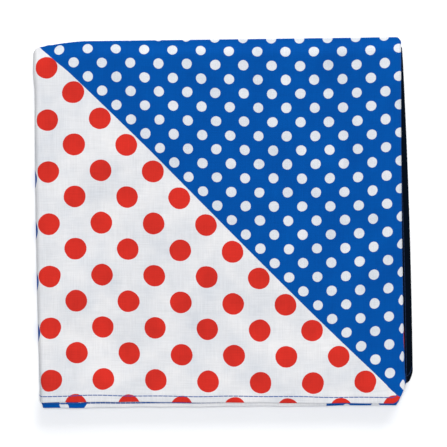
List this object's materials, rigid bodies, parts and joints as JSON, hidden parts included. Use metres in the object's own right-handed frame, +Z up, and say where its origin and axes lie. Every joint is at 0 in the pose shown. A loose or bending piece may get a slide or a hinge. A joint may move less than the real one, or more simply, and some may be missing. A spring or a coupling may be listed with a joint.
{
  "type": "folded furoshiki wrapping cloth",
  "caption": "Square cotton wrapping cloth with narrow sewn hems, folded flat to a square packet of pressed leaves that fans a little at one side.",
  "frame": {"origin": "middle of the packet's underside, on the surface that it lies on", "axes": "+Z up out of the front leaf, +Y from the hemmed edge to the far fold, +X from the outer crease to the free ends"},
  "size_m": [0.1812, 0.1774, 0.0098],
  "materials": {
    "printed_cotton": "matt plain-woven cotton, printed in dots"
  },
  "bodies": {
    "root": {"cloth": "printed_cotton"}
  },
  "joints": []
}
